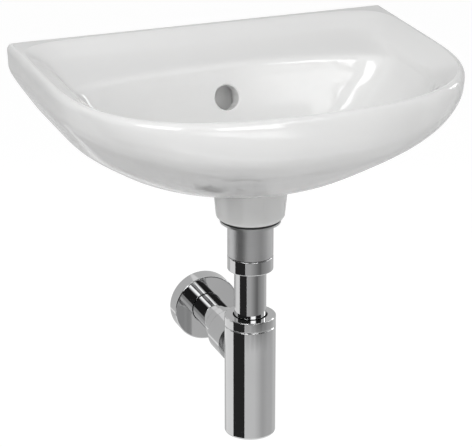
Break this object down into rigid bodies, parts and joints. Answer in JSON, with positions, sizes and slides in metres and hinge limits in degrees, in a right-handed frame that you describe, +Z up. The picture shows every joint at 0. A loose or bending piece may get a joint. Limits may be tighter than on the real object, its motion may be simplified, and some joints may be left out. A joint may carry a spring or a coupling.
{
  "type": "washbasin",
  "caption": "Small wall-hung washbasin of white glazed china with a rounded front, dished back ledge, overflow hole and a chrome bottle trap that runs to the wall.",
  "frame": {"origin": "on the wall plane, midway between the two fixing holes", "axes": "+X to the right of someone facing the basin, +Y into the wall, +Z up"},
  "size_m": [0.4014, 0.3416, 0.3886],
  "materials": {
    "vitreous_china": "gloss",
    "chrome": "polished",
    "satin_steel": "satin",
    "bare_brass": "turned",
    "seal_rubber": "matt",
    "slip_ring_plastic": "matt"
  },
  "bodies": {
    "basin_set": {"basin": "vitreous_china", "waste_body": "chrome", "waste_top_seal": "seal_rubber", "waste_bottom_seal": "seal_rubber", "waste_sleeve": "satin_steel", "plug_cartridge": "bare_brass", "union_seal": "seal_rubber", "dip_tube": "chrome"},
    "plug": {"plug_cap": "chrome", "plug_seal": "seal_rubber", "plug_stem": "satin_steel"},
    "union_ring": {"union_ring": "slip_ring_plastic"},
    "union_nut": {"union_nut": "chrome"},
    "trap_head": {"trap_cap": "chrome", "tube_seal": "seal_rubber"},
    "bottle": {"trap_bottle": "chrome", "cap_gasket": "seal_rubber", "outlet_seal": "seal_rubber"},
    "outlet_ring": {"outlet_ring": "slip_ring_plastic"},
    "outlet_nut": {"outlet_nut": "chrome"},
    "base_seal": {"base_seal": "seal_rubber"},
    "base_plug": {"base_plug": "chrome"},
    "wall_pipe": {"wall_pipe": "chrome"},
    "rosette": {"rosette": "chrome", "rosette_grip": "seal_rubber"}
  },
  "joints": [
    {"name": "plug_travel", "type": "slide", "parent": "basin_set", "child": "plug", "axis": [0, 0, 1], "range_m": [-0.007, 0]},
    {"name": "union_ring_slide", "type": "slide", "parent": "basin_set", "child": "union_ring", "axis": [0, 0, 1], "range_m": [-0.0064, 0]},
    {"name": "union_nut_turn", "type": "hinge", "parent": "union_ring", "child": "union_nut", "pos_m": [0, -0.1395, -0.145], "axis": [0, 0, 1], "range_deg": [-1000, 0]},
    {"name": "trap_height", "type": "slide", "parent": "basin_set", "child": "trap_head", "axis": [0, 0, 1], "range_m": [-0.03, 0.01]},
    {"name": "trap_swivel", "type": "hinge", "parent": "trap_head", "child": "bottle", "pos_m": [0, -0.1395, -0.22], "axis": [0, 0, 1], "range_deg": [-90, 90]},
    {"name": "outlet_ring_slide", "type": "slide", "parent": "bottle", "child": "outlet_ring", "axis": [0, 1, 0], "range_m": [0, 0.0064]},
    {"name": "outlet_nut_turn", "type": "hinge", "parent": "outlet_ring", "child": "outlet_nut", "pos_m": [0, -0.09, -0.2435], "axis": [0, 1, 0], "range_deg": [0, 1000]},
    {"name": "base_seal_slide", "type": "slide", "parent": "bottle", "child": "base_seal", "axis": [0, 0, 1], "range_m": [-0.0064, 0]},
    {"name": "base_plug_turn", "type": "hinge", "parent": "base_seal", "child": "base_plug", "pos_m": [0, -0.1395, -0.325], "axis": [0, 0, 1], "range_deg": [-1000, 0]},
    {"name": "pipe_slide", "type": "slide", "parent": "bottle", "child": "wall_pipe", "axis": [0, 1, 0], "range_m": [-0.01, 0.012]},
    {"name": "rosette_slide", "type": "slide", "parent": "wall_pipe", "child": "rosette", "axis": [0, 1, 0], "range_m": [-0.02, 0]}
  ],
  "couplings": [
    {"joint": "union_nut_turn", "follows": "union_ring_slide", "rad_per_m": 2721.2},
    {"joint": "outlet_nut_turn", "follows": "outlet_ring_slide", "rad_per_m": 2721.2},
    {"joint": "base_plug_turn", "follows": "base_seal_slide", "rad_per_m": 2721.2}
  ]
}
